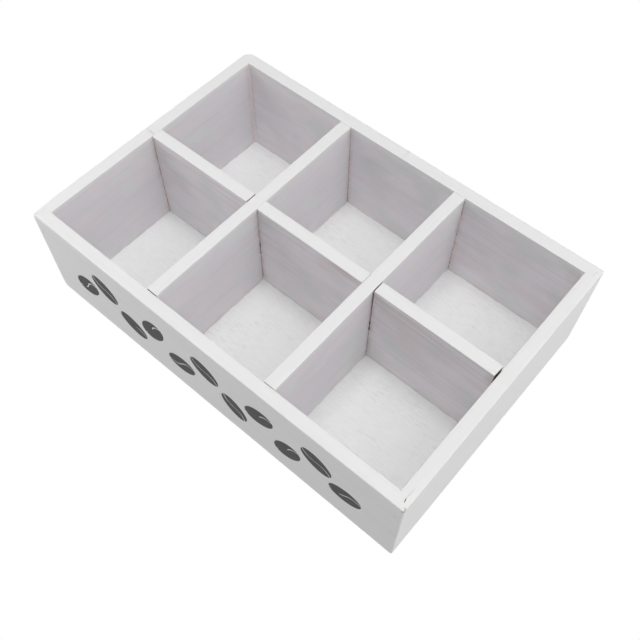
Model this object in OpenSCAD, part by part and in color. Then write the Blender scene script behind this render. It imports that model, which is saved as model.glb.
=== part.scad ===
// Six-compartment wooden tray: four mitred wall boards, a thin floor let into
// them from below, and a loose egg-crate grid of three divider boards.
// Millimetres. X runs along the length, the front wall faces -Y, +Z is up.
// The origin is the middle of the footprint, on the surface the tray stands on.

/* [Box] */
// Outside length of the box, along X
box_l = 300; // [260:1:380]
// Outside depth of the box, along Y
box_w = 201; // [170:1:260]
// Outside height of the box
box_h = 82; // [65:1:110]
// Thickness of the four wall boards
wall_t = 8.6; // [7:0.1:12]
// Radius that the outer corners are sanded to
corner_r = 1.6; // [0.6:0.1:2.5]

/* [Floor] */
// Thickness of the plywood floor
floor_t = 3; // [2:0.5:5]
// Width of the rabbet in the walls that takes the floor
rabbet_w = 4.2; // [3:0.1:5]
// Gap between the edge of the floor and its rabbet
floor_gap = 0.2; // [0.1:0.1:0.5]

/* [Divider grid] */
// Thickness of the three divider boards
divider_t = 8.8; // [6:0.1:11]
// How far the dividers end below the rim
divider_drop = 0.2; // [0:0.1:3]
// Gap between the grid and the back and left walls, which it is pushed against
pushed_gap = 0.2; // [0.1:0.1:0.6]
// Gap between the cross dividers and the front wall
front_gap = 0.6; // [0.3:0.1:2]
// Gap between the long divider and the right wall
right_gap = 1; // [0.3:0.1:2]
// Width that a half-lap slot has over the board that drops into it
slot_play = 0.6; // [0.4:0.1:1.2]
// How far a cross divider sits off the middle of its slot, towards the middle bay
slot_offset = 0.2; // [0:0.05:0.2]
// Depth that each slot is cut past half the height of its board
slot_relief = 0.5; // [0.2:0.1:1.5]

/* [Brads] */
// Diameter of the shank of every brad
brad_d = 1.2; // [0.8:0.1:1.6]
// Diameter of the head of every brad
brad_head_d = 2; // [1.8:0.1:2.4]
// Thickness of the head of every brad
brad_head_t = 0.5; // [0.3:0.1:0.8]
// Length of the chisel point of every brad
brad_point = 1.5; // [1:0.1:2.5]
// Length of a corner brad
corner_brad_l = 25; // [16:1:30]
// Depth that a corner brad's head is set below the face, under filler
corner_brad_set = 0.8; // [0.5:0.1:1.2]
// Number of brads up each corner
corner_brads_each = 3; // [2:1:4]
// Distance from the top and bottom edges to the nearest corner brad
corner_brad_margin = 15; // [12:1:20]
// Length of a floor brad
floor_brad_l = 14; // [10:1:20]
// Depth that a floor brad's head is set into the floor
floor_brad_set = 0.3; // [0.1:0.1:0.6]
// Number of floor brads along the front and along the back
floor_brads_long = 4; // [2:1:6]
// Number of floor brads along each end
floor_brads_short = 2; // [2:1:4]
// Distance from an outer corner to the nearest floor brad
floor_brad_margin = 38; // [34:1:50]

/* [Hidden] */
$fn = 48;

// Overshoot that lets a cut clear the face it starts from
cut = 1;

// The space inside the walls
inner_l = box_l - 2 * wall_t;
inner_w = box_w - 2 * wall_t;

// The floor panel fills the rabbet that runs round the bottom of that space
rabbet_l = inner_l + 2 * rabbet_w;
rabbet_d = inner_w + 2 * rabbet_w;

// The grid stands on the floor and is pushed into the back left corner
divider_h = box_h - floor_t - divider_drop;
grid_left = -inner_l / 2 + pushed_gap;
grid_back = inner_w / 2 - pushed_gap;
long_len = inner_l - pushed_gap - right_gap;
cross_len = inner_w - pushed_gap - front_gap;

// Three equal bays along the long divider, two along each cross divider
bay_l = (long_len - 2 * divider_t) / 3;
bay_w = (cross_len - divider_t) / 2;
long_y = grid_back - bay_w - divider_t / 2;
slot_left_x = grid_left + bay_l + divider_t / 2;
slot_right_x = slot_left_x + bay_l + divider_t;

// Half-lap slots, cut to half the height and a little more
slot_w = divider_t + slot_play;
slot_h = divider_h / 2 + slot_relief;

// Corner brads run along Y, in the middle of the end walls' thickness
corner_brad_x = box_l / 2 - wall_t / 2;
corner_brad_step = (box_h - 2 * corner_brad_margin) / (corner_brads_each - 1);
corner_brad_heights = [
    for (i = [0 : corner_brads_each - 1]) corner_brad_margin + i * corner_brad_step
];

// Floor brads run up through the panel, in the middle of the rabbet's width
floor_brad_x = inner_l / 2 + rabbet_w / 2;
floor_brad_y = inner_w / 2 + rabbet_w / 2;
long_row = row(floor_brads_long, box_l / 2 - floor_brad_margin);
short_row = row(floor_brads_short, box_w / 2 - floor_brad_margin);
floor_brad_places = concat(
    [for (side = [-1, 1], x = long_row) [x, side * floor_brad_y]],
    [for (side = [-1, 1], y = short_row) [side * floor_brad_x, y]]
);

// Evenly spaced places from -reach to reach
function row(count, reach) = [for (i = [0 : count - 1]) -reach + 2 * reach * i / (count - 1)];

// Plan of the box, with its corners sanded round
module box_plan() {
    square([box_l - 2 * corner_r, box_w], center = true);
    square([box_l, box_w - 2 * corner_r], center = true);
    for (x = [-1, 1], y = [-1, 1])
        translate([x * (box_l / 2 - corner_r), y * (box_w / 2 - corner_r)])
            circle(r = corner_r);
}

// Plan of a board along -Y of a frame that is len long and dep deep, mitred at both ends
module mitred_plan(len, dep) {
    polygon([
        [-len / 2, -dep / 2],
        [len / 2, -dep / 2],
        [len / 2 - wall_t, -dep / 2 + wall_t],
        [-len / 2 + wall_t, -dep / 2 + wall_t]
    ]);
}

// The rebate round the bottom of the walls, as a block to cut away
module rabbet_cut() {
    translate([-rabbet_l / 2, -rabbet_d / 2, -cut])
        cube([rabbet_l, rabbet_d, floor_t + cut]);
}

// One brad along +Z: its head starts at z = 0 and its point ends at z = len
module brad(len) {
    cylinder(d = brad_head_d, h = brad_head_t);
    cylinder(d = brad_d, h = len - brad_point);
    translate([0, 0, len - brad_point])
        cylinder(d1 = brad_d, d2 = brad_d / 4, h = brad_point);
}

// Puts its children at every corner brad, with +Z along the brad and z = 0 at the face
module at_corner_brads() {
    for (x = [-1, 1], y = [-1, 1], h = corner_brad_heights)
        translate([x * corner_brad_x, y * box_w / 2, h])
            rotate([y * 90, 0, 0])
                children();
}

// Puts its children at every floor brad, with z = 0 on the underside of the box
module at_floor_brads() {
    for (place = floor_brad_places)
        translate([place[0], place[1], 0])
            children();
}

// Everything that is cut or driven into the walls
module wall_cuts() {
    rabbet_cut();
    at_corner_brads() {
        translate([0, 0, -cut])
            cylinder(d = brad_head_d, h = corner_brad_set + cut);
        translate([0, 0, corner_brad_set])
            brad(corner_brad_l);
    }
    at_floor_brads()
        translate([0, 0, floor_brad_set])
            brad(floor_brad_l);
}

// A wall board: its share of the box plan, less the rebate and the brad holes
module wall_board() {
    difference() {
        linear_extrude(box_h)
            intersection() {
                box_plan();
                children();
            }
        wall_cuts();
    }
}

// A plain divider board along X that stands on the floor, centred on its own place
module divider_board(len) {
    translate([-len / 2, -divider_t / 2, floor_t])
        cube([len, divider_t, divider_h]);
}

// Front wall, with its face towards -Y
module front_wall() {
    color([0.82, 0.82, 0.82])
        wall_board()
            mitred_plan(box_l, box_w);
}

// Back wall
module back_wall() {
    color([0.85, 0.84, 0.85])
        wall_board()
            rotate(180)
                mitred_plan(box_l, box_w);
}

// Left end wall
module left_wall() {
    color([0.86, 0.86, 0.87])
        wall_board()
            rotate(-90)
                mitred_plan(box_w, box_l);
}

// Right end wall
module right_wall() {
    color([0.88, 0.88, 0.88])
        wall_board()
            rotate(90)
                mitred_plan(box_w, box_l);
}

// Plywood floor, flush with the underside of the walls
module floor_panel() {
    color([0.9, 0.89, 0.88])
        difference() {
            translate([-rabbet_l / 2 + floor_gap, -rabbet_d / 2 + floor_gap, 0])
                cube([rabbet_l - 2 * floor_gap, rabbet_d - 2 * floor_gap, floor_t]);
            at_floor_brads() {
                translate([0, 0, -cut])
                    cylinder(d = brad_head_d, h = floor_brad_set + cut);
                translate([0, 0, floor_brad_set])
                    brad(floor_brad_l);
            }
        }
}

// Long divider, slotted from above for the two cross dividers
module long_divider() {
    color([0.8, 0.79, 0.8])
        difference() {
            translate([grid_left + long_len / 2, long_y, 0])
                divider_board(long_len);
            for (x = [slot_left_x, slot_right_x])
                translate([x - slot_w / 2, long_y - divider_t, floor_t + divider_h - slot_h])
                    cube([slot_w, 2 * divider_t, slot_h + cut]);
        }
}

// A cross divider at x, slotted from below so that it drops over the long divider
module cross_divider(x) {
    color([0.83, 0.82, 0.84])
        difference() {
            translate([x, grid_back - cross_len / 2, 0])
                rotate(90)
                    divider_board(cross_len);
            translate([x - divider_t, long_y - slot_w / 2, floor_t - cut])
                cube([2 * divider_t, slot_w, slot_h + cut]);
        }
}

// Left cross divider
module cross_divider_left() {
    cross_divider(slot_left_x + slot_offset);
}

// Right cross divider
module cross_divider_right() {
    cross_divider(slot_right_x - slot_offset);
}

// Brads through the front and back walls into the ends of the end walls
module corner_brads() {
    color("silver")
        at_corner_brads()
            translate([0, 0, corner_brad_set])
                brad(corner_brad_l);
}

// Wood filler over the heads of the corner brads, flush with the faces
module brad_filler() {
    color([0.92, 0.92, 0.91])
        at_corner_brads()
            cylinder(d = brad_head_d, h = corner_brad_set);
}

// Brads up through the floor into the walls
module floor_brads() {
    color("silver")
        at_floor_brads()
            translate([0, 0, floor_brad_set])
                brad(floor_brad_l);
}

front_wall();
back_wall();
left_wall();
right_wall();
floor_panel();
long_divider();
cross_divider_left();
cross_divider_right();
corner_brads();
brad_filler();
floor_brads();
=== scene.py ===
"""Looks of the compartment tray: whitewashed boards, plywood floor, brads, light and camera.

Everything is in metres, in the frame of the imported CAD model, unless its comment says millimetres.
"""
import math
from collections import namedtuple

import bmesh
import bpy
from mathutils import Matrix, Vector, noise

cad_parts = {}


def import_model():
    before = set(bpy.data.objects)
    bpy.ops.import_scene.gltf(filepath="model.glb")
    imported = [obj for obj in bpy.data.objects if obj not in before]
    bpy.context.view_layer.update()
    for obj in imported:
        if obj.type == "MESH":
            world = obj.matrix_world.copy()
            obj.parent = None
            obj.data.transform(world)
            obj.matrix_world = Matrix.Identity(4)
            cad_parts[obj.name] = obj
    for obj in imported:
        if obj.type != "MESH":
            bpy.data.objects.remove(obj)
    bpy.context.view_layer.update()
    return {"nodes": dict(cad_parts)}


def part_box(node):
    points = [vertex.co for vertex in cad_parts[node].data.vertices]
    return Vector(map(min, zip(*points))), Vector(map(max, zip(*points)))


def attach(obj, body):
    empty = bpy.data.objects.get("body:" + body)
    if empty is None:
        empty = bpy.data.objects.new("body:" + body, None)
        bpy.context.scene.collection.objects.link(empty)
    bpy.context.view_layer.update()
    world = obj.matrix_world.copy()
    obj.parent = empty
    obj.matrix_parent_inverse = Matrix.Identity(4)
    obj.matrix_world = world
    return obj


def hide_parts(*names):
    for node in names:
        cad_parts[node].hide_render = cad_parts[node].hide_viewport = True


MM = 0.001

# Outside length of the box, half its outside depth, thickness of its walls, its height,
# thickness of its floor and width of the rebate that takes the floor
Box = namedtuple("Box", "length half_w thick height floor_t rabbet")

# A surface: its least and most roughness, its specular level, and its relief's strength and depth
Finish = namedtuple("Finish", "smooth rough specular relief depth")

# Walls, counted round from the front
FRONT = 0
RIGHT = 1
BACK = 2
LEFT = 3

# Axis that each divider runs along
DIVIDER_AXES = {"long_divider": 0, "cross_divider_left": 1, "cross_divider_right": 1}
CROSS_DIVIDERS = ["cross_divider_left", "cross_divider_right"]

# Camera, solved on the straight edges of the photograph
CAMERA_PLACE = (198.84 * MM, -227.95 * MM, 479.85 * MM)
CAMERA_AZIMUTH = 39.994
CAMERA_ELEVATION = 59.864
CAMERA_ROLL = 0.826
CAMERA_LENS = 44.581
CAMERA_SENSOR = 36.0
CAMERA_SHIFT_X = -0.00078
CAMERA_SHIFT_Y = 0.03208
CAMERA_NEAREST = 10 * MM

# Strength of the light from all round, and of what the floor sends back up
WORLD_LIGHT = 0.22
FLOOR_LIGHT = 0.69

# Large lights: azimuth from the front towards the right, elevation, distance, size and power
LIGHTS = {
    "top_light": (0, 90, 1.6, 0.5, 6.8),
    "wide_top_light": (0, 90, 1.6, 2.0, 1.0),
    "high_right_light": (90, 70, 1.6, 1.0, 5.0),
    "right_light": (95, 50, 1.6, 1.0, 0.9),
    "low_right_light": (95, 20, 1.6, 1.2, 5.5),
    "left_light": (-60, 50, 1.6, 1.0, 0.35),
    "back_left_light": (-90, 50, 1.6, 1.0, 1.9),
    "front_left_fill": (-50, 25, 0.6, 0.35, 0.65),
    "back_right_fill": (125, 25, 0.6, 0.35, 0.2),
}

# The studio floor: how far it reaches each way, and how far it lies under the object
STUDIO_FLOOR_REACH = 3.0
STUDIO_FLOOR_DROP = 0.1 * MM

# Fit of the floor and of the cross dividers' slots, and heights of the slots, as in the CAD model
FLOOR_GAP = 0.2 * MM
CROSS_SLOT_PLAY = 0.3 * MM
LONG_SLOT_BOTTOM = 41.9 * MM
CROSS_SLOT_TOP = 42.9 * MM

# Gaps in the long divider's slots: towards the middle bay, tighter than in the CAD model, and
# away from it, and how much wider the right slot is at its top
SLOT_NEAR = 0.03 * MM
SLOT_FAR = 0.5 * MM
SLOT_SPREAD = 0.5 * MM

# Mesh steps: across a face and round an eased edge
FACE_STEP = 2.5 * MM
ARC_STEPS = 4

# Distances of the closer rings near a board's end, in millimetres
END_OFFSETS = [0.0, 0.12, 0.3, 0.55, 0.9, 1.3, 1.8, 2.5, 3.4, 4.6, 6.2, 8.0]

# Distance under which points are merged after the cuts
CLEAN_REACH = 0.002 * MM

# How squarely a point has to face a way to count as part of that face
FACING = 0.8

# Angle in degrees over which an edge is shaded sharp
SHARP_ANGLE = 40

# Radii of the sanded edges; those of the top are front, right, back and left
OUTER_TOP_EASES = [0.7 * MM, 0.6 * MM, 0.3 * MM, 0.3 * MM]
INNER_TOP_EASES = [0.5 * MM, 0.4 * MM, 0.2 * MM, 0.4 * MM]
OUTER_FOOT_EASE = 2.4 * MM
REBATE_EASE = 0.2 * MM
DIVIDER_EASE = 0.45 * MM
PANEL_EASE = 0.15 * MM

# Plan radii of the outer corners, front left, front right, back right and back left,
# how much rounder each is at its tip and at its foot, and how quickly that fades
CORNER_RADII = [0.9 * MM, 1.2 * MM, 1.2 * MM, 7.3 * MM]
CORNER_TIPS = [2.6 * MM, 1.2 * MM, 0.4 * MM, 0.6 * MM]
CORNER_FEET = [4.0 * MM, 0.4 * MM, 1.0 * MM, 1.0 * MM]
TIP_REACH = 1.6 * MM
FOOT_REACH = 3.5 * MM

# How much more the outer top edge is sanded off at each corner, and how far along the boards
TIP_EASES = [2.4 * MM, 0.0, 0.0, 0.0]
TIP_EASE_REACH = 12.0 * MM

# How far each board ends short of its mitre, and how far from it the rings still lean along it
MITRE_GAP = 0.004 * MM
MITRE_REACH = 6.0 * MM

# Hand-sanded unevenness, which fades out towards a board's ends
WAVE_HEIGHT = 0.05 * MM
WAVE_LENGTH = 26.0 * MM
EDGE_WEAR = 0.12 * MM
EDGE_WEAR_LENGTH = 7.0 * MM
END_FADE = 3.0 * MM

# How far each wall's top bows outwards at the middle, front, right, back and left
WALL_BOWS = [0.5 * MM, 0.0, -0.15 * MM, 0.0]

# How much further in the inner face of each wall stands at the rim than at its foot
RIM_SWELLS = [0.1 * MM, 0.05 * MM, 0.3 * MM, 0.1 * MM]

# How far each divider stands off its place, towards +Y or +X, at its start and at its end,
# and how much further its middle bows that way
DRIFTS = {
    "long_divider": (0.1 * MM, 0.4 * MM, 0.35 * MM),
    "cross_divider_left": (0.05 * MM, -0.4 * MM, 0.0),
    "cross_divider_right": (-0.1 * MM, -0.5 * MM, -0.25 * MM),
}
NO_DRIFT = (0.0, 0.0, 0.0)

# How much further each divider reaches at its start and its end than in the CAD model
REACHES = {
    "long_divider": (0.15 * MM, 0.0),
    "cross_divider_left": (0.5 * MM, 0.15 * MM),
    "cross_divider_right": (0.75 * MM, 0.15 * MM),
}

# Skewed end of the long divider, which leaves a wedge of a gap at the right wall
SKEW_FRONT = 0.45 * MM

# Splits in the top edge of the right wall: (x, y, width, depth) along each, in millimetres
SPLITS = {
    "right_wall": [
        [
            (146.9, -96.4, 0.2, 0.2), (146.5, -95.6, 0.9, 0.6), (146.2, -94.2, 0.8, 0.6),
            (146.0, -93.4, 0.2, 0.3), (146.2, -90.6, 0.25, 0.3), (146.4, -88.0, 0.2, 0.25),
            (146.7, -85.4, 0.05, 0.1),
        ],
        [
            (147.8, 97.2, 0.1, 0.1), (146.8, 96.2, 0.25, 0.2), (146.3, 94.4, 0.2, 0.15),
            (146.4, 91.0, 0.05, 0.1),
        ],
    ],
}

# Half the width of a split's bottom, as a share of its width at the top
SPLIT_BOTTOM = 0.15

# Brads, in millimetres: radii and sizes, then (depth of the head under the face, length)
HEAD_RADIUS = 1.0
SHANK_RADIUS = 0.6
HEAD_THICK = 0.5
BRAD_POINT = 1.5
CORNER_BRAD = (0.8, 25.0)
FLOOR_BRAD = (0.3, 14.0)

# Radius of a brad's tip, as a share of its shank's
BRAD_TIP = 0.25

# Brad holes: how much larger than the brad they are, in millimetres, and how many sides they have
BRAD_PLAY = 0.02
BRAD_SIDES = 16

# Places of the brads in the walls and under the floor, in millimetres
CORNER_BRAD_X = 145.7
CORNER_BRAD_HEIGHTS = [15.0, 41.0, 67.0]
FLOOR_BRAD_X = [112.0, 112.0 / 3]
FLOOR_BRAD_Y = 62.5

# How far a cutter starts outside the face that it cuts, in millimetres
OVERSHOOT = 1.0

# Small holes at the half-lap joints, cut out of the long divider and of the cross divider that is
# named: middle and half sizes, in millimetres
JOINT_CHIPS = [
    ("cross_divider_left", (-44.35, -3.65, 44.0), (0.55, 0.6, 2.6)),
    ("cross_divider_left", (-44.35, -3.75, 38.6), (0.4, 0.4, 1.0)),
    ("cross_divider_left", (-44.35, -3.75, 34.8), (0.4, 0.4, 1.6)),
    ("cross_divider_right", (51.75, -3.6, 44.5), (0.55, 0.65, 2.4)),
    ("cross_divider_right", (51.75, -3.6, 38.0), (0.6, 0.65, 3.0)),
]
CHIP_RINGS = 8
CHIP_SIDES = 8

# Share of its half length at which a chip's pointed end is cut off
CHIP_SPAN = 0.98

# Painted beans on the front face: (x, z, tilt) of each bean, in millimetres and degrees
BEANS = [
    (-112, 37, 35), (-90, 53, -40), (-68, 33, -25), (-46, 50, 50), (-23, 34, 20), (0, 52, -35),
    (23, 33, -50), (45, 50, 30), (67, 33, 45), (90, 52, -30), (112, 36, 15),
]
BEAN_LENGTH = 25.0 * MM
BEAN_WIDTH = 17.0 * MM
BEAN_SLIT = 1.1 * MM
BEAN_BEND = 2.2 * MM
BEAN_STEPS = 22

# Share of its half length at which a bean's end is cut off
BEAN_SPAN = 0.985

# How far the paint film stands out of the front face, and how far it reaches into it
PAINT_PROUD = 0.1 * MM
PAINT_BURY = 0.15 * MM

# Colours, as linear values
PAINT = (0.865, 0.865, 0.863, 1)
PAINT_GRAIN = (0.80, 0.797, 0.795, 1)
# Whitewash as a shaded and a lit copy, as painted light: darker on faces that face X, lighter on faces
# that face Y
WASH_SHADED_FACING_X = (0.845, 0.822, 0.857, 1)
WASH_LIT_FACING_Y = (0.93, 0.90, 0.93, 1)
WASH_GRAIN = (0.76, 0.71, 0.735, 1)
WASH_PINK = (0.89, 0.835, 0.855, 1)
WASH_GREEN = (0.84, 0.857, 0.855, 1)
WASH_STREAK = (0.64, 0.575, 0.575, 1)
PANEL = (0.915, 0.923, 0.918, 1)
PANEL_GRAIN = (0.80, 0.795, 0.79, 1)
PANEL_STREAK = (0.64, 0.63, 0.62, 1)
POOLED = (0.95, 0.885, 0.875, 1)
# Tan of stains, bare wood and painted shade at the seams; brown of the grid's joint lines, bare wood
# with painted shade
STAIN_AND_SHADE_TAN = (0.62, 0.49, 0.45, 1)
SEAM_BROWN_AND_SHADE = (0.36, 0.24, 0.21, 1)
# Unpainted wood of splits, chips and brad holes, made dark as painted shade
BARE_SHADE_LIGHT = (0.22, 0.18, 0.155, 1)
BARE_SHADE_DARK = (0.07, 0.058, 0.05, 1)
# Unpainted sawn wood, a tan darker than fresh wood so that it also holds painted shade in the gaps at
# board ends and in slots
SAWN_SHADE_LIGHT = (0.33, 0.262, 0.208, 1)
SAWN_SHADE_DARK = (0.21, 0.165, 0.13, 1)
CHARCOAL = (0.055, 0.052, 0.056, 1)
CHARCOAL_WORN = (0.10, 0.095, 0.10, 1)
STEEL_DARK = (0.42, 0.42, 0.43, 1)
STEEL_LIGHT = (0.58, 0.57, 0.55, 1)
WHITE = (1, 1, 1, 1)

# Surfaces
PAINT_FINISH = Finish(0.42, 0.6, 0.3, 0.2, 0.15 * MM)
WASH_FINISH = Finish(0.55, 0.72, 0.25, 0.3, 0.15 * MM)
PANEL_FINISH = Finish(0.5, 0.7, 0.25, 0.35, 0.15 * MM)
BARE_FINISH = Finish(0.7, 0.85, 0.5, 0.4, 0.2 * MM)
SAWN_FINISH = Finish(0.75, 0.9, 0.2, 0.4, 0.2 * MM)
CHARCOAL_FINISH = Finish(0.55, 0.75, 0.5, 0.2, 0.1 * MM)
STEEL_FINISH = Finish(0.28, 0.45, 0.5, 0.0, 0.0)

# Values between which most of a noise lies
NOISE_LOW = 0.3
NOISE_HIGH = 0.7

# Seeds of the noise in each board and each other material
SEEDS = {
    "front_wall": 3.0, "right_wall": 10.0, "back_wall": 17.0, "left_wall": 24.0,
    "long_divider": 41.0, "cross_divider_left": 51.0, "cross_divider_right": 63.0,
    "floor_sheet": 77.0, "plywood": 31.0, "filler": 15.5,
    "bare_and_shade": 2.0, "sawn_and_shade": 12.0, "charcoal": 51.0, "steel": 5.0,
}

# Distances from a seam at which a mark is whole and at which it is gone: the soft and hard marks are
# stain with painted shade, the pooled one is paint, and the floor's is a painted shadow line
SOFT_SEAM_AND_SHADE = (0.1 * MM, 4.5 * MM)
POOLED_SEAM = (0.9 * MM, 1.7 * MM)
HARD_SEAM_AND_SHADE = (0.3 * MM, 0.8 * MM)
FLOOR_SEAM_SHADOW = (0.3 * MM, 1.2 * MM)

# Shares of the floor's thickness between which its painted shadow lines come in, so that its underside
# has none
FLOOR_SHADOW_FROM = 0.5
FLOOR_SHADOW_TO = 0.8

# Height above which the long divider shows darker streaks, and how far up they come in
STREAK_HEIGHT = 64 * MM
STREAK_FADE = 6 * MM

# Stained patches: middle and radii in millimetres, and strength
OUTER_MARKS = {
    "right_wall": [
        ((149.4, -99.4, 82), (2.6, 2.2, 2.2), 0.75), ((150.0, -100.2, 80.6), (1.4, 1.4, 1.2), 0.9),
        ((141.2, 46.5, 81), (1.0, 3.0, 2.0), 0.5),
    ],
    "front_wall": [((149.0, -100.4, 80.4), (1.8, 1.2, 1.4), 0.9)],
}
INNER_MARKS = {
    "back_wall": [((137.0, 91.9, 72), (9, 6, 12), 0.16)],
    "long_divider": [((30.0, -3.6, 79.0), (16, 6, 5), 0.3), ((138.0, -3.8, 75), (5, 5, 10), 0.3)],
}

# Share of a patch's radius over which it keeps its full strength
MARK_CORE = 0.2

# Material numbers of a board's faces; number 2 is the bare wood of its cuts, which is darkened as
# painted shade
OUTSIDE = 0
INSIDE = 1
SAWN = 3


# Meshes

def eased_corner(here, back, ahead, radius):
    """Points round one corner of an outline; back and ahead point to the corners next to it."""
    side = -1 if back.x * ahead.y - back.y * ahead.x > 0 else 1
    if radius == 0:
        return [(here, (back + ahead).normalized() * side, 1.0)]
    found = []
    for k in range(ARC_STEPS + 1):
        turn = math.radians(90) * k / ARC_STEPS
        point = here + back * radius * (1 - math.sin(turn)) + ahead * radius * (1 - math.cos(turn))
        normal = (back * math.sin(turn) + ahead * math.cos(turn)) * side
        found.append((point, normal, 1.0))
    return found


def eased_outline(corners):
    """Closed outline through right-angled corners given as (a, b, radius), clockwise.

    Gives (point, outward normal, 1 on an eased edge and 0 on a face) for each point.
    """
    found = []
    for i, (a, b, radius) in enumerate(corners):
        following = corners[(i + 1) % len(corners)]
        here = Vector((a, b))
        before = Vector(corners[i - 1][:2])
        after = Vector(following[:2])
        back = (before - here).normalized()
        ahead = (after - here).normalized()
        found += eased_corner(here, back, ahead, radius)
        start = here + ahead * radius
        end = after - ahead * following[2]
        count = max(1, math.ceil((after - here).length / FACE_STEP))
        for k in range(1, count):
            found.append((start.lerp(end, k / count), Vector((-ahead.y, ahead.x)), 0.0))
    return found


def stations(length):
    """(distance from the nearer end, sign of the end) for every ring along a board."""
    near_end = [value * MM for value in END_OFFSETS]
    rest = length / 2 - near_end[-1]
    count = max(1, round(rest / FACE_STEP))
    offsets = near_end + [near_end[-1] + rest * (i + 1) / count for i in range(count)]
    rings = [(offset, -1) for offset in offsets]
    rings += [(offset, 1) for offset in reversed(offsets[:-1])]
    return rings


def unevenness(place, worn, fade, seed):
    """How far a point of a board's surface stands proud, from sanding and wear."""
    wave = noise.noise(Vector(place) / WAVE_LENGTH + Vector((seed, 0, 0)))
    nick = noise.noise(Vector(place) / EDGE_WEAR_LENGTH + Vector((0, seed, 0)))
    return fade * (WAVE_HEIGHT * wave + EDGE_WEAR * worn * min(0.0, nick))


def add_loft(shape, rings, faces=None):
    """Adds a closed solid through rings of points; faces numbers the material of each strip."""
    loops = [[shape.verts.new(point) for point in ring] for ring in rings]
    count = len(loops[0])
    for low, high in zip(loops, loops[1:]):
        for i in range(count):
            j = (i + 1) % count
            face = shape.faces.new((low[i], low[j], high[j], high[i]))
            if faces:
                face.material_index = faces[i]
    caps = [shape.faces.new(loops[0]), shape.faces.new(loops[-1])]
    if faces:
        for cap in caps:
            cap.material_index = SAWN
    bmesh.ops.triangulate(shape, faces=caps)


def make_object(name, shape):
    """Turns a bmesh into an object in the scene."""
    bmesh.ops.recalc_face_normals(shape, faces=shape.faces)
    mesh = bpy.data.meshes.new(name)
    shape.to_mesh(mesh)
    shape.free()
    piece = bpy.data.objects.new(name, mesh)
    bpy.context.scene.collection.objects.link(piece)
    return piece


def loft(name, rings, faces=None):
    """An object with one closed solid through rings of points."""
    shape = bmesh.new()
    add_loft(shape, rings, faces)
    return make_object(name, shape)


def corner_depth(radius, offset):
    """Depth of a rounded corner below the flat face, at a distance from the sharp end."""
    if offset >= radius:
        return 0.0
    return radius - math.sqrt(max(0.0, radius ** 2 - (radius - offset) ** 2))


# Boards

def corner_radius(corner, z, height):
    """Plan radius of an outer corner at a height."""
    tip = CORNER_TIPS[corner] * math.exp(-(height - z) / TIP_REACH)
    foot = CORNER_FEET[corner] * math.exp(-z / FOOT_REACH)
    return CORNER_RADII[corner] + tip + foot


def wall_bow(side, along, rise):
    """How far a wall stands out at a place along it (-1 to 1) and up it (0 to 1)."""
    return WALL_BOWS[side] * (1 - along ** 2) * rise


def wall_outline(side, box, tip_ease):
    """Section of a wall board, as (depth from the outer face, height)."""
    return eased_outline([
        (0, 0, OUTER_FOOT_EASE),
        (0, box.height, OUTER_TOP_EASES[side] + tip_ease),
        (box.thick, box.height, INNER_TOP_EASES[side]),
        (box.thick, box.floor_t, REBATE_EASE),
        (box.thick - box.rabbet, box.floor_t, 0),
        (box.thick - box.rabbet, 0, REBATE_EASE),
    ])


def wall_board(name, box, side, length, half):
    """A mitred wall board of this length, whose outer face is half away from the middle."""
    seed = SEEDS[name]
    spin = Matrix.Rotation(math.radians(90 * side), 4, "Z")
    rings = []
    for offset, sign in stations(length):
        corner = side if sign < 0 else (side + 1) % 4
        lean = math.exp(-offset / MITRE_REACH)
        fade = min(1.0, offset / END_FADE)
        tip_ease = TIP_EASES[corner] * math.exp(-offset / TIP_EASE_REACH)
        outline = wall_outline(side, box, tip_ease)
        ring = []
        for point, normal, worn in outline:
            radius = corner_radius(corner, point.y, box.height)
            # The mitre meets the rounded corner this far in from where it would be sharp
            start = radius * (1 - math.sqrt(0.5))
            deep = corner_depth(radius, offset + start)
            depth = deep + point.x * (1 - deep / box.thick)
            along = sign * (length / 2 - offset - start - (depth - start) * lean - MITRE_GAP)
            proud = unevenness((along, depth, point.y), worn, fade, seed)
            depth += RIM_SWELLS[side] * point.x / box.thick * point.y / box.height
            depth -= wall_bow(side, 2 * along / length, point.y / box.height)
            place = Vector((along, -half + depth + normal.x * proud, point.y + normal.y * proud))
            ring.append(spin @ place)
        rings.append(ring)
    faces = [INSIDE if normal.x > FACING and not worn else OUTSIDE for _, normal, worn in outline]
    return loft(name + "_board", rings, faces)


def drift(ends, share):
    """How far a divider stands sideways off its place, at a share of its length."""
    start, end, bow = ends
    # The bow is none at both ends and whole at the middle
    return start + (end - start) * share + bow * 4 * share * (1 - share)


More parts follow.
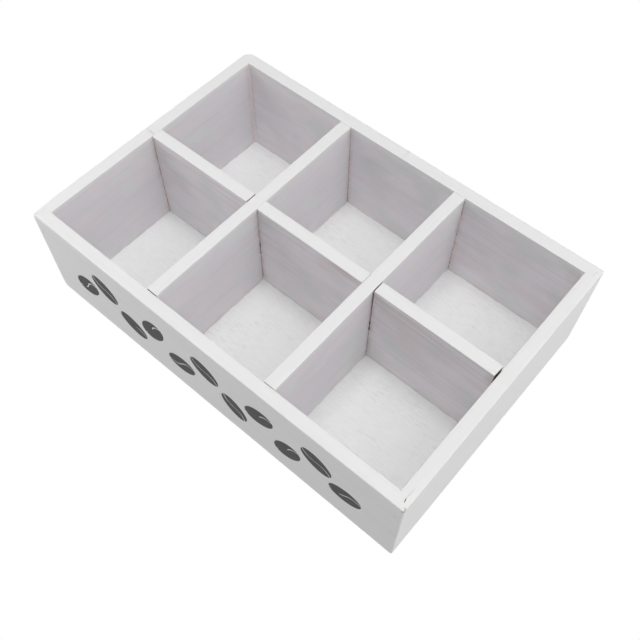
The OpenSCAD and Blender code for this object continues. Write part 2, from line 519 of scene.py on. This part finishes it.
def plain_board(name, low, high, axis, ease, seed, ends=NO_DRIFT, skew=0.0, trims=(0, 0)):
    """A straight board between two corners, along axis 0 (X) or 1 (Y), with eased edges.

    ends is how far it stands sideways off its place; skew is how much shorter its far end is
    on the low side than on the high side; trims is how much shorter its ends are at the top.
    """
    across = 1 - axis
    length = high[axis] - low[axis]
    middle = (high[axis] + low[axis]) / 2
    outline = eased_outline([
        (low[across], low.z, ease),
        (low[across], high.z, ease),
        (high[across], high.z, ease),
        (high[across], low.z, ease),
    ])
    rings = []
    for offset, sign in stations(length):
        inset = corner_depth(ease, offset)
        fade = min(1.0, offset / END_FADE)
        near_end = math.exp(-offset / END_FADE)
        pull = skew * near_end if sign > 0 else 0.0
        trim = trims[0 if sign < 0 else 1] * near_end
        ring = []
        for point, normal, worn in outline:
            share = (high[across] - point.x) / (high[across] - low[across])
            rise = (point.y - low.z) / (high.z - low.z)
            along = middle + sign * (length / 2 - offset - trim * rise) - pull * share
            aside = drift(ends, (along - low[axis]) / length)
            proud = unevenness((along, point.x, point.y), worn, fade, seed) - inset
            place = Vector((0, 0, point.y + normal.y * proud))
            place[axis] = along
            place[across] = point.x + aside + normal.x * proud
            ring.append(place)
        rings.append(ring)
    faces = [INSIDE if abs(normal.x) > FACING and not worn else OUTSIDE for _, normal, worn in outline]
    return loft(name, rings, faces)


# Cuts

def slot_cutter(low, high, spread=0.0):
    """A cutter for a slot between two corners; spread widens its top towards +X."""
    rings = []
    for z, more in ((low[2], 0.0), (high[2], spread)):
        far = high[0] + more
        plan = [(low[0], low[1]), (far, low[1]), (far, high[1]), (low[0], high[1])]
        rings.append([Vector((x, y, z)) for x, y in plan])
    return loft("slot", rings)


def chip_cutter(centre, radii):
    """A cutter for a small spindle-shaped hole, upright, in millimetres."""
    rings = []
    for i in range(CHIP_RINGS + 1):
        rise = -CHIP_SPAN + 2 * CHIP_SPAN * i / CHIP_RINGS
        swell = math.sqrt(1 - rise * rise)
        ring = []
        for k in range(CHIP_SIDES):
            turn = math.tau * k / CHIP_SIDES
            ring.append(Vector((
                centre[0] + radii[0] * swell * math.cos(turn),
                centre[1] + radii[1] * swell * math.sin(turn),
                centre[2] + radii[2] * rise,
            )) * MM)
        rings.append(ring)
    return loft("chip", rings)


def split_cutter(path, top):
    """A cutter for a tapering split that runs along path in the top face, in millimetres."""
    rings = []
    for x, y, wide, deep in path:
        rings.append([
            Vector((x - wide / 2, y, top + OVERSHOOT)) * MM,
            Vector((x + wide / 2, y, top + OVERSHOOT)) * MM,
            Vector((x + wide * SPLIT_BOTTOM, y, top - deep)) * MM,
            Vector((x - wide * SPLIT_BOTTOM, y, top - deep)) * MM,
        ])
    return loft("split", rings)


def add_pin(shape, place, ahead, brad):
    """Adds a cutter for one brad, whose hole starts at place, in millimetres, and runs ahead."""
    deep, long = brad
    head = HEAD_RADIUS + BRAD_PLAY
    shank = SHANK_RADIUS + BRAD_PLAY
    steps = [
        (-OVERSHOOT, head),
        (deep + HEAD_THICK + BRAD_PLAY, head),
        (deep + HEAD_THICK + 2 * BRAD_PLAY, shank),
        (deep + long - BRAD_POINT, shank),
        (deep + long + BRAD_PLAY, shank * BRAD_TIP),
    ]
    side = Vector((1, 0, 0))
    up = Vector(ahead).cross(side)
    rings = []
    for reach, radius in steps:
        ring = []
        for k in range(BRAD_SIDES):
            turn = math.tau * k / BRAD_SIDES
            across = side * math.cos(turn) + up * math.sin(turn)
            ring.append((Vector(place) + Vector(ahead) * reach + across * radius) * MM)
        rings.append(ring)
    add_loft(shape, rings)


def corner_pins(box):
    """A cutter for all the brads through the corners, with the filler over their heads."""
    shape = bmesh.new()
    for side in (-1, 1):
        for x in (-CORNER_BRAD_X, CORNER_BRAD_X):
            for z in CORNER_BRAD_HEIGHTS:
                add_pin(shape, (x, side * box.half_w / MM, z), (0, -side, 0), CORNER_BRAD)
    return make_object("corner_pins", shape)


def floor_pins(box):
    """A cutter for all the brads up through the floor, in rows in the middle of the rebate."""
    row_x = (box.length / 2 - box.thick + box.rabbet / 2) / MM
    row_y = (box.half_w - box.thick + box.rabbet / 2) / MM
    shape = bmesh.new()
    for side in (-1, 1):
        for x in FLOOR_BRAD_X:
            for y in (-row_y, row_y):
                add_pin(shape, (side * x, y, 0), (0, 0, 1), FLOOR_BRAD)
        for x in (-row_x, row_x):
            add_pin(shape, (x, side * FLOOR_BRAD_Y, 0), (0, 0, 1), FLOOR_BRAD)
    return make_object("floor_pins", shape)


def cut(piece, cutter, material):
    """Cuts the cutter out of the piece, with a material on the cut, and removes the cutter."""
    cutter.data.materials.append(material)
    step = piece.modifiers.new("cut", "BOOLEAN")
    step.operation = "DIFFERENCE"
    step.solver = "EXACT"
    step.material_mode = "TRANSFER"
    step.object = cutter
    bpy.context.view_layer.update()
    seen = piece.evaluated_get(bpy.context.evaluated_depsgraph_get())
    mesh = bpy.data.meshes.new_from_object(seen)
    piece.modifiers.clear()
    old = piece.data
    piece.data = mesh
    bpy.data.meshes.remove(old)
    bpy.data.meshes.remove(cutter.data)


def clean(piece):
    """Merges the near-double points that cuts leave, and splits what is left into triangles."""
    shape = bmesh.new()
    shape.from_mesh(piece.data)
    bmesh.ops.remove_doubles(shape, verts=shape.verts, dist=CLEAN_REACH)
    bmesh.ops.triangulate(shape, faces=shape.faces, quad_method="BEAUTY", ngon_method="BEAUTY")
    bmesh.ops.dissolve_degenerate(shape, edges=shape.edges, dist=CLEAN_REACH)
    shape.to_mesh(piece.data)
    shape.free()


# Material nodes

def put(tree, kind, values=None, **settings):
    """Adds a node; values fills its inputs by name or number, with a socket or a constant."""
    node = tree.nodes.new(kind)
    for key, value in settings.items():
        setattr(node, key, value)
    for key, value in (values or {}).items():
        if isinstance(value, bpy.types.NodeSocket):
            tree.links.new(value, node.inputs[key])
        else:
            node.inputs[key].default_value = value
    return node


def calculate(tree, operation, first, second):
    """Result of a Math node."""
    return put(tree, "ShaderNodeMath", {0: first, 1: second}, operation=operation).outputs[0]


def times(tree, first, second):
    """Product of two values."""
    return calculate(tree, "MULTIPLY", first, second)


def smallest(tree, values):
    """Least of several values."""
    least = values[0]
    for value in values[1:]:
        least = calculate(tree, "MINIMUM", least, value)
    return least


def stretched_noise(tree, place, along, across, detail, seed):
    """Noise with features of these sizes along X and across it, in metres."""
    values = {"Vector": place, "Location": (seed, seed / 2, -seed)}
    values["Scale"] = (1 / along, 1 / across, 1 / across)
    scaled = put(tree, "ShaderNodeMapping", values)
    values = {"Vector": scaled.outputs[0], "Scale": 1.0, "Detail": detail}
    return put(tree, "ShaderNodeTexNoise", values).outputs[0]


def ramp(tree, value, low, high, to_low=0.0, to_high=1.0):
    """Maps value from low..high to to_low..to_high, smoothly and clamped."""
    values = {"Value": value, "From Min": low, "From Max": high, "To Min": to_low, "To Max": to_high}
    node = put(tree, "ShaderNodeMapRange", values, interpolation_type="SMOOTHSTEP")
    return node.outputs["Result"]


def near(tree, away, whole, gone):
    """1 where away is less than whole, and down to 0 where it reaches gone."""
    return ramp(tree, away, whole, gone, 1.0, 0.0)


def blended(tree, factor, first, second):
    """Colour between first and second."""
    node = put(tree, "ShaderNodeMix", {0: factor, 6: first, 7: second}, data_type="RGBA")
    return node.outputs[2]


def tinted(tree, colour, tint, value, low, high, most=1.0):
    """Colour with a tint over it, none where value is under low and most where it is over high."""
    return blended(tree, ramp(tree, value, low, high, 0.0, most), colour, tint)


def height_of(tree, place):
    """Height of a place."""
    return put(tree, "ShaderNodeSeparateXYZ", {0: place}).outputs[2]


def along_grain(tree, place, axis):
    """The place with the board's length as X."""
    if axis == 0:
        return place
    parts = put(tree, "ShaderNodeSeparateXYZ", {0: place})
    turned = {0: parts.outputs[1], 1: parts.outputs[0], 2: parts.outputs[2]}
    return put(tree, "ShaderNodeCombineXYZ", turned).outputs[0]


def blob(tree, place, centre, radii):
    """1 in the middle of a soft ellipsoid and 0 outside it; centre and radii in millimetres."""
    values = {"Vector": place, "Scale": [1 / (radius * MM) for radius in radii]}
    values["Location"] = [-c / radius for c, radius in zip(centre, radii)]
    moved = put(tree, "ShaderNodeMapping", values)
    far = put(tree, "ShaderNodeVectorMath", {0: moved.outputs[0]}, operation="LENGTH")
    return near(tree, far.outputs["Value"], MARK_CORE, 1.0)


def joint_offsets(tree, place, joints):
    """How far a place is beyond the edge of each joint, or less than 0 within it.

    A joint is (axis, centre, half of the thickness of the board that covers the face there).
    """
    parts = put(tree, "ShaderNodeSeparateXYZ", {0: place})
    offsets = []
    for axis, centre, half in joints:
        away = calculate(tree, "SUBTRACT", parts.outputs[axis], centre)
        away = calculate(tree, "ABSOLUTE", away, 0.0)
        offsets.append(calculate(tree, "SUBTRACT", away, half))
    return offsets


def joint_distance(tree, place, joints):
    """Distance to the nearest edge of the joints."""
    offsets = joint_offsets(tree, place, joints)
    return smallest(tree, [calculate(tree, "ABSOLUTE", offset, 0.0) for offset in offsets])


def covered(tree, place, joints):
    """1 where a joint's board covers the face, and 0 elsewhere."""
    return calculate(tree, "LESS_THAN", smallest(tree, joint_offsets(tree, place, joints)), 0.0)


def new_material(name):
    """A material, its node tree, its shader and the place on the object."""
    material = bpy.data.materials.new(name)
    material.use_nodes = True
    tree = material.node_tree
    place = put(tree, "ShaderNodeTexCoord").outputs["Object"]
    return material, tree, tree.nodes["Principled BSDF"], place


def finish_material(tree, shader, colour, gloss, relief, finish):
    """Gives the shader its colour, a roughness that follows gloss, and the relief if there is one."""
    tree.links.new(colour, shader.inputs["Base Color"])
    roughness = ramp(tree, gloss, NOISE_LOW, NOISE_HIGH, finish.smooth, finish.rough)
    tree.links.new(roughness, shader.inputs["Roughness"])
    shader.inputs["Specular IOR Level"].default_value = finish.specular
    if relief is not None:
        values = {"Height": relief, "Strength": finish.relief, "Distance": finish.depth}
        bump = put(tree, "ShaderNodeBump", values)
        tree.links.new(bump.outputs[0], shader.inputs["Normal"])


# Materials

def marked(tree, place, colour, marks):
    """Brown patches over a colour."""
    for centre, radii, strength in marks:
        mask = times(tree, blob(tree, place, centre, radii), strength)
        colour = blended(tree, mask, colour, STAIN_AND_SHADE_TAN)
    return colour


def streaked(tree, place, grain, colour, start, seed):
    """Darker streaks along the grain over a colour, above the height where they start."""
    lines = stretched_noise(tree, grain, along=70 * MM, across=0.9 * MM, detail=2.0, seed=seed)
    shown = ramp(tree, height_of(tree, place), start, start + STREAK_FADE)
    mask = times(tree, shown, ramp(tree, lines, low=0.5, high=0.64, to_high=0.6))
    return blended(tree, mask, colour, WASH_STREAK)


def seamed_and_shaded(tree, place, colour, corners, joints, seed):
    """Stains and painted shade where boards meet: a tan stain with painted shade near corners and
    joints, paint pooled in the walls' corners, a brown line of bare wood and painted shade at the
    grid.
    """
    stain = stretched_noise(tree, place, along=9 * MM, across=9 * MM, detail=3.0, seed=seed)
    spots = stretched_noise(tree, place, along=3 * MM, across=3 * MM, detail=2.0, seed=seed + 4)
    # Painted shade: a tan stain that darkens the face near corners and joints
    soft_stain_and_shade = near(tree, joint_distance(tree, place, corners + joints), *SOFT_SEAM_AND_SHADE)
    soft_stain_and_shade = times(tree, soft_stain_and_shade, ramp(tree, stain, low=0.35, high=0.65, to_low=0.12, to_high=0.4))
    colour = blended(tree, soft_stain_and_shade, colour, STAIN_AND_SHADE_TAN)
    pooled = near(tree, joint_distance(tree, place, corners), *POOLED_SEAM)
    pooled = times(tree, pooled, ramp(tree, spots, low=0.4, high=0.65, to_low=1.0, to_high=0.6))
    colour = blended(tree, pooled, colour, POOLED)
    # Painted shade: a brown line along the grid's joints, bare wood and shade in one
    hard_line_and_shade = near(tree, joint_distance(tree, place, joints), *HARD_SEAM_AND_SHADE)
    hard_line_and_shade = times(tree, hard_line_and_shade, ramp(tree, spots, low=0.42, high=0.65, to_low=0.15, to_high=0.7))
    colour = blended(tree, hard_line_and_shade, colour, SEAM_BROWN_AND_SHADE)
    return blended(tree, covered(tree, place, joints), colour, STAIN_AND_SHADE_TAN)


def painted(name, axis, seed, marks=()):
    """White paint on the outer faces and top edges, with the grain just showing."""
    material, tree, shader, place = new_material(name)
    grain = along_grain(tree, place, axis)
    fine = stretched_noise(tree, grain, along=24 * MM, across=0.6 * MM, detail=4.0, seed=seed)
    brush = stretched_noise(tree, grain, along=60 * MM, across=5.0 * MM, detail=3.0, seed=seed + 1)
    lumps = stretched_noise(tree, grain, along=5 * MM, across=2.5 * MM, detail=2.0, seed=seed + 2)
    colour = tinted(tree, PAINT, PAINT_GRAIN, fine, low=0.5, high=0.8, most=0.5)
    colour = tinted(tree, colour, PAINT_GRAIN, brush, low=0.5, high=0.8, most=0.25)
    colour = marked(tree, place, colour, marks)
    finish_material(tree, shader, colour, brush, calculate(tree, "ADD", fine, lumps), PAINT_FINISH)
    return material


def whitewashed(name, axis, seed, corners, joints, marks=(), streaks=None):
    """Thin whitewash on the inner faces, over mottled wood, lighter or darker by which way the faces
    turn as painted light, stained and with painted shade where boards meet.

    marks are brown patches; streaks is the height above which darker streaks show.
    """
    material, tree, shader, place = new_material(name)
    grain = along_grain(tree, place, axis)
    fine = stretched_noise(tree, grain, along=26 * MM, across=0.5 * MM, detail=4.0, seed=seed)
    bands = stretched_noise(tree, grain, along=80 * MM, across=3.0 * MM, detail=3.0, seed=seed + 1)
    pores = stretched_noise(tree, grain, along=7 * MM, across=0.3 * MM, detail=1.0, seed=seed + 2)
    pink = stretched_noise(tree, grain, along=34 * MM, across=18 * MM, detail=1.0, seed=seed + 3)
    green = stretched_noise(tree, grain, along=30 * MM, across=22 * MM, detail=1.0, seed=seed + 5)
    # Painted light: the whitewash is darker on boards whose faces face X and lighter on those whose
    # faces face Y
    colour = WASH_LIT_FACING_Y if axis == 0 else WASH_SHADED_FACING_X
    colour = tinted(tree, colour, WASH_PINK, pink, low=0.45, high=0.7, most=0.9)
    colour = tinted(tree, colour, WASH_GREEN, green, low=0.48, high=0.68, most=0.9)
    colour = tinted(tree, colour, WASH_GRAIN, fine, low=0.45, high=0.75, most=0.3)
    colour = tinted(tree, colour, WASH_GRAIN, bands, low=0.5, high=0.75, most=0.35)
    colour = tinted(tree, colour, STAIN_AND_SHADE_TAN, pores, low=0.68, high=0.78, most=0.3)
    if streaks is not None:
        colour = streaked(tree, place, grain, colour, streaks, seed + 6)
    colour = marked(tree, place, colour, marks)
    colour = seamed_and_shaded(tree, place, colour, corners, joints, seed + 8)
    finish_material(tree, shader, colour, fine, fine, WASH_FINISH)
    return material


def plywood(name, joints, top):
    """The thin painted plywood floor, with broken grey streaks along X, and painted shadow lines on
    its top face where walls and dividers stand.
    """
    material, tree, shader, place = new_material(name)
    seed = SEEDS["plywood"]
    fine = stretched_noise(tree, place, along=14 * MM, across=0.6 * MM, detail=4.0, seed=seed)
    fuzz = stretched_noise(tree, place, along=5 * MM, across=1.2 * MM, detail=3.0, seed=seed + 2)
    groups = stretched_noise(tree, place, along=45 * MM, across=16 * MM, detail=1.0, seed=seed + 4)
    broken = stretched_noise(tree, place, along=9 * MM, across=0.5 * MM, detail=2.0, seed=seed + 6)
    stain = stretched_noise(tree, place, along=6 * MM, across=6 * MM, detail=3.0, seed=seed + 8)
    colour = tinted(tree, PANEL, PANEL_GRAIN, fuzz, low=0.4, high=0.7, most=0.25)
    colour = tinted(tree, colour, PANEL_GRAIN, fine, low=0.5, high=0.8, most=0.35)
    streaks = ramp(tree, groups, low=0.42, high=0.6)
    streaks = times(tree, streaks, ramp(tree, broken, low=0.58, high=0.7, to_high=0.6))
    colour = blended(tree, streaks, colour, PANEL_STREAK)
    # Painted shadow: tan lines on the top face where the walls and dividers stand on it
    seam_shadow = near(tree, joint_distance(tree, place, joints), *FLOOR_SEAM_SHADOW)
    shown = ramp(tree, height_of(tree, place), top * FLOOR_SHADOW_FROM, top * FLOOR_SHADOW_TO)
    seam_shadow = times(tree, seam_shadow, shown)
    seam_shadow = times(tree, seam_shadow, ramp(tree, stain, low=0.4, high=0.65, to_low=0.05, to_high=0.35))
    colour = blended(tree, seam_shadow, colour, STAIN_AND_SHADE_TAN)
    finish_material(tree, shader, colour, fuzz, fine, PANEL_FINISH)
    return material


def bare_wood_and_shade(name):
    """Unpainted wood in splits, chips and brad holes, made dark as painted shade in these narrow
    hollows.
    """
    material, tree, shader, place = new_material(name)
    seed = SEEDS["bare_and_shade"]
    fibres = stretched_noise(tree, place, along=1.2 * MM, across=0.4 * MM, detail=3.0, seed=seed)
    colour = tinted(tree, BARE_SHADE_DARK, BARE_SHADE_LIGHT, fibres, low=0.35, high=0.65)
    finish_material(tree, shader, colour, fibres, fibres, BARE_FINISH)
    return material


def sawn_wood_and_shade(name):
    """Unpainted wood at the sawn ends of the boards and in their slots, with growth rings, in a tan
    darker than fresh wood as painted shade in the narrow gaps.
    """
    material, tree, shader, place = new_material(name)
    seed = SEEDS["sawn_and_shade"]
    rings = stretched_noise(tree, place, along=5.0 * MM, across=1.1 * MM, detail=2.0, seed=seed)
    marks = stretched_noise(tree, place, along=0.5 * MM, across=0.3 * MM, detail=2.0, seed=seed + 2)
    colour = tinted(tree, SAWN_SHADE_LIGHT, SAWN_SHADE_DARK, rings, low=0.4, high=0.62)
    colour = tinted(tree, colour, SAWN_SHADE_DARK, marks, low=0.45, high=0.75, most=0.4)
    finish_material(tree, shader, colour, marks, marks, SAWN_FINISH)
    return material


def charcoal_paint(name):
    """Dark stencil paint, a little worn along the grain of the front wall."""
    material, tree, shader, place = new_material(name)
    seed = SEEDS["charcoal"]
    worn = stretched_noise(tree, place, along=12 * MM, across=0.6 * MM, detail=4.0, seed=seed)
    colour = tinted(tree, CHARCOAL, CHARCOAL_WORN, worn, low=0.4, high=0.75)
    finish_material(tree, shader, colour, worn, worn, CHARCOAL_FINISH)
    return material


def steel(name):
    """Drawn steel wire of the brads."""
    material, tree, shader, place = new_material(name)
    seed = SEEDS["steel"]
    drawn = stretched_noise(tree, place, along=0.4 * MM, across=0.2 * MM, detail=3.0, seed=seed)
    colour = tinted(tree, STEEL_DARK, STEEL_LIGHT, drawn, low=0.35, high=0.7)
    finish_material(tree, shader, colour, drawn, None, STEEL_FINISH)
    shader.inputs["Metallic"].default_value = 1.0
    return material


# Light, floor and camera

def seen_and_lit(tree, kind, lit_strength):
    """A shader that the camera sees as plain white and that lights the object at its own strength."""
    path = put(tree, "ShaderNodeLightPath")
    seen = put(tree, kind, {"Color": WHITE, "Strength": 1.0})
    lit = put(tree, kind, {"Color": WHITE, "Strength": lit_strength})
    lit.label = "lit"
    values = {0: path.outputs["Is Camera Ray"], 1: lit.outputs[0], 2: seen.outputs[0]}
    return put(tree, "ShaderNodeMixShader", values).outputs[0]


def white_world():
    """A white surrounding that lights the object softly."""
    world = bpy.data.worlds.new("studio")
    bpy.context.scene.world = world
    world.use_nodes = True
    tree = world.node_tree
    tree.nodes.clear()
    both = seen_and_lit(tree, "ShaderNodeBackground", WORLD_LIGHT)
    out = put(tree, "ShaderNodeOutputWorld")
    tree.links.new(both, out.inputs["Surface"])


def white_floor():
    """The plain white floor, which sends light back up."""
    shape = bmesh.new()
    bmesh.ops.create_grid(shape, x_segments=8, y_segments=8, size=STUDIO_FLOOR_REACH)
    floor = make_object("studio_floor", shape)
    floor.location.z = -STUDIO_FLOOR_DROP
    material = bpy.data.materials.new("studio_floor")
    material.use_nodes = True
    tree = material.node_tree
    tree.nodes.clear()
    both = seen_and_lit(tree, "ShaderNodeEmission", FLOOR_LIGHT)
    out = put(tree, "ShaderNodeOutputMaterial")
    tree.links.new(both, out.inputs["Surface"])
    floor.data.materials.append(material)


def aimed(azimuth, elevation):
    """Turn of a light or camera that faces the object from an azimuth and an elevation."""
    turn = Matrix.Rotation(math.radians(azimuth), 4, "Z")
    tilt = Matrix.Rotation(math.radians(90 - elevation), 4, "X")
    return turn @ tilt


def soft_light(name, azimuth, elevation, distance, size, power):
    """A large square light that faces the middle of the object."""
    data = bpy.data.lights.new(name, "AREA")
    data.energy = power
    data.size = size
    light = bpy.data.objects.new(name, data)
    light.matrix_world = aimed(azimuth, elevation) @ Matrix.Translation((0, 0, distance))
    light.visible_camera = False
    bpy.context.scene.collection.objects.link(light)


def photo_camera():
    """The camera at the photograph's place."""
    data = bpy.data.cameras.new("camera")
    data.sensor_width = CAMERA_SENSOR
    data.lens = CAMERA_LENS
    data.shift_x = CAMERA_SHIFT_X
    data.shift_y = CAMERA_SHIFT_Y
    data.clip_start = CAMERA_NEAREST
    camera = bpy.data.objects.new("camera", data)
    roll = Matrix.Rotation(math.radians(CAMERA_ROLL), 4, "Z")
    turned = aimed(CAMERA_AZIMUTH, CAMERA_ELEVATION) @ roll
    camera.matrix_world = Matrix.Translation(CAMERA_PLACE) @ turned
    bpy.context.scene.collection.objects.link(camera)
    bpy.context.scene.camera = camera


# Putting it together

def measured_box():
    """Sizes of the box, from the CAD boards."""
    low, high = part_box("front_wall")
    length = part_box("right_wall")[1].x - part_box("left_wall")[0].x
    thick = high.y - low.y
    floor_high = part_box("floor_panel")[1]
    rabbet = floor_high.x + FLOOR_GAP - (length / 2 - thick)
    return Box(length, -low.y, thick, high.z, floor_high.z, rabbet)


def inner_faces(box):
    """Inner faces of the end walls and of the long walls, as joints of no thickness."""
    inner_x = box.length / 2 - box.thick
    inner_y = box.half_w - box.thick
    return [(0, -inner_x, 0.0), (0, inner_x, 0.0)], [(1, -inner_y, 0.0), (1, inner_y, 0.0)]


def divider_board(node, walls, skew=0.0):
    """A divider before its slots are cut; walls are the two that it runs between."""
    axis = DIVIDER_AXES[node]
    low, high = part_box(node)
    start, end = REACHES[node]
    low[axis] -= start
    high[axis] += end
    name = node + "_board"
    trims = [RIM_SWELLS[wall] for wall in walls]
    return plain_board(name, low, high, axis, DIVIDER_EASE, SEEDS[node], DRIFTS[node], skew, trims)


def joint_at(node, share):
    """The joint that a divider makes with a board, at a share of the divider's length."""
    across = 1 - DIVIDER_AXES[node]
    low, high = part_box(node)
    centre = (low[across] + high[across]) / 2 + drift(DRIFTS[node], share)
    return (across, centre, (high[across] - low[across]) / 2)


def crossing_of(node):
    """The joint that the long divider makes with a cross divider."""
    low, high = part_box("long_divider")
    _, middle, _ = joint_at(node, 0.5)
    return joint_at("long_divider", (middle - low.x) / (high.x - low.x))


def wear(piece, paint, wash, bare_and_shade, sawn_and_shade):
    """Gives a board its materials: painted outside, washed inside, bare in cuts, sawn at its ends; the
    bare and sawn woods are darkened as painted shade.
    """
    for material in (paint, wash, bare_and_shade, sawn_and_shade):
        piece.data.materials.append(material)


def dress_board(board, node, axis, corners, joints, bare_and_shade, sawn_and_shade, streaks=None):
    """Gives a board its own paint and whitewash, and the shared woods."""
    seed = SEEDS[node]
    marks = INNER_MARKS.get(node, [])
    paint = painted(node + "_paint", axis, seed, OUTER_MARKS.get(node, []))
    wash = whitewashed(node + "_wash", axis, seed + 2, corners, joints, marks, streaks)
    wear(board, paint, wash, bare_and_shade, sawn_and_shade)


def finish_piece(piece, body, node):
    """Shading and body of a finished piece that stands for a CAD node, whose part is hidden."""
    piece.data.shade_smooth()
    piece.data.set_sharp_from_angle(angle=math.radians(SHARP_ANGLE))
    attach(piece, body)
    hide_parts(node)


def build_walls(box, bare_and_shade, sawn_and_shade):
    """The four mitred wall boards."""
    ends, sides = inner_faces(box)
    walls = [
        (FRONT, "front_wall", [joint_at(node, 0) for node in CROSS_DIVIDERS]),
        (RIGHT, "right_wall", [joint_at("long_divider", 1)]),
        (BACK, "back_wall", [joint_at(node, 1) for node in CROSS_DIVIDERS]),
        (LEFT, "left_wall", [joint_at("long_divider", 0)]),
    ]
    for side, node, joints in walls:
        if side in (FRONT, BACK):
            board = wall_board(node, box, side, box.length, box.half_w)
            dress_board(board, node, 0, ends, joints, bare_and_shade, sawn_and_shade)
        else:
            board = wall_board(node, box, side, 2 * box.half_w, box.length / 2)
            dress_board(board, node, 1, sides, joints, bare_and_shade, sawn_and_shade)
        for path in SPLITS.get(node, []):
            cut(board, split_cutter(path, box.height / MM), bare_and_shade)
        cut(board, corner_pins(box), bare_and_shade)
        cut(board, floor_pins(box), bare_and_shade)
        finish_piece(board, "box", node)


def build_long_divider(box, bare_and_shade, sawn_and_shade):
    """The long divider, slotted from above for the two cross dividers."""
    node = "long_divider"
    ends, _ = inner_faces(box)
    crossings = [joint_at(cross, 0.5) for cross in CROSS_DIVIDERS]
    board = divider_board(node, (LEFT, RIGHT), SKEW_FRONT)
    dress_board(board, node, 0, ends, crossings, bare_and_shade, sawn_and_shade, STREAK_HEIGHT)
    low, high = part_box(node)
    gaps = [(SLOT_FAR, SLOT_NEAR, 0.0), (SLOT_NEAR, SLOT_FAR, SLOT_SPREAD)]
    for (_, centre, half), (before, after, spread) in zip(crossings, gaps):
        start = (centre - half - before, low.y - box.thick, LONG_SLOT_BOTTOM)
        end = (centre + half + after, high.y + box.thick, box.height + box.thick)
        cut(board, slot_cutter(start, end, spread), sawn_and_shade)
    for _, centre, radii in JOINT_CHIPS:
        cut(board, chip_cutter(centre, radii), bare_and_shade)
    clean(board)
    finish_piece(board, node, node)


def build_cross_divider(box, node, bare_and_shade, sawn_and_shade):
    """A cross divider, slotted from below so that it drops over the long one."""
    _, sides = inner_faces(box)
    crossing = crossing_of(node)
    board = divider_board(node, (FRONT, BACK))
    dress_board(board, node, 1, sides, [crossing], bare_and_shade, sawn_and_shade)
    low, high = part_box(node)
    _, centre, half = crossing
    start = (low.x - box.thick, centre - half - CROSS_SLOT_PLAY, -box.thick)
    end = (high.x + box.thick, centre + half + CROSS_SLOT_PLAY, CROSS_SLOT_TOP)
    cut(board, slot_cutter(start, end), sawn_and_shade)
    for owner, place, radii in JOINT_CHIPS:
        if owner == node:
            cut(board, chip_cutter(place, radii), bare_and_shade)
    clean(board)
    finish_piece(board, node, node)


def build_floor(box, bare_and_shade, sawn_and_shade):
    """The thin plywood floor in its rebate."""
    ends, sides = inner_faces(box)
    joints = ends + sides + [joint_at(node, 0.5) for node in DIVIDER_AXES]
    low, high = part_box("floor_panel")
    panel = plain_board("floor_sheet", low, high, 0, PANEL_EASE, SEEDS["floor_sheet"])
    sheet = plywood("floor_plywood", joints, high.z)
    wear(panel, sheet, sheet, bare_and_shade, sawn_and_shade)
    cut(panel, floor_pins(box), bare_and_shade)
    clean(panel)
    finish_piece(panel, "box", "floor_panel")


def bean_half(x, z, tilt, side):
    """Outline of half a bean, on one side of the wavy slit down its middle; x and z in millimetres."""
    ahead = Matrix.Rotation(math.radians(tilt), 2) @ Vector((1, 0))
    across = Vector((-ahead.y, ahead.x))
    centre = Vector((x, z)) * MM
    slit = []
    rim = []
    for i in range(BEAN_STEPS + 1):
        t = -BEAN_SPAN + 2 * BEAN_SPAN * i / BEAN_STEPS
        middle = centre + ahead * t * BEAN_LENGTH / 2
        bend = BEAN_BEND * math.sin(math.pi * t)
        slit.append(middle + across * (bend + side * BEAN_SLIT / 2))
        rim.append(middle + across * side * max(BEAN_SLIT, BEAN_WIDTH / 2 * math.sqrt(1 - t * t)))
    return slit + rim[::-1]


def build_ornament(box):
    """The painted beans, as a thin raised film on the front face."""
    shape = bmesh.new()
    for outline in [bean_half(*bean, side) for bean in BEANS for side in (-1, 1)]:
        proud = []
        buried = []
        for point in outline:
            bow = wall_bow(FRONT, 2 * point.x / box.length, point.y / box.height)
            face = -box.half_w - bow
            proud.append(Vector((point.x, face - PAINT_PROUD, point.y)))
            buried.append(Vector((point.x, face + PAINT_BURY, point.y)))
        add_loft(shape, [proud, buried])
    beans = make_object("front_ornament", shape)
    beans.data.materials.append(charcoal_paint("charcoal_paint"))
    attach(beans, "box")


def dress_brads(nodes):
    """Gives the CAD brads and filler their materials."""
    wire = steel("brad_steel")
    filler = painted("painted_filler", 0, SEEDS["filler"])
    for node, material in (("corner_brads", wire), ("floor_brads", wire), ("brad_filler", filler)):
        nodes[node].data.materials.clear()
        nodes[node].data.materials.append(material)


def main():
    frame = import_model()
    box = measured_box()

    bare_and_shade = bare_wood_and_shade("bare_wood_and_shade")
    sawn_and_shade = sawn_wood_and_shade("sawn_wood_and_shade")
    build_walls(box, bare_and_shade, sawn_and_shade)
    build_long_divider(box, bare_and_shade, sawn_and_shade)
    for node in CROSS_DIVIDERS:
        build_cross_divider(box, node, bare_and_shade, sawn_and_shade)
    build_floor(box, bare_and_shade, sawn_and_shade)
    build_ornament(box)
    dress_brads(frame["nodes"])

    white_world()
    white_floor()
    for name, settings in LIGHTS.items():
        soft_light(name, *settings)
    photo_camera()
    bpy.context.scene.view_settings.view_transform = "Standard"


main()
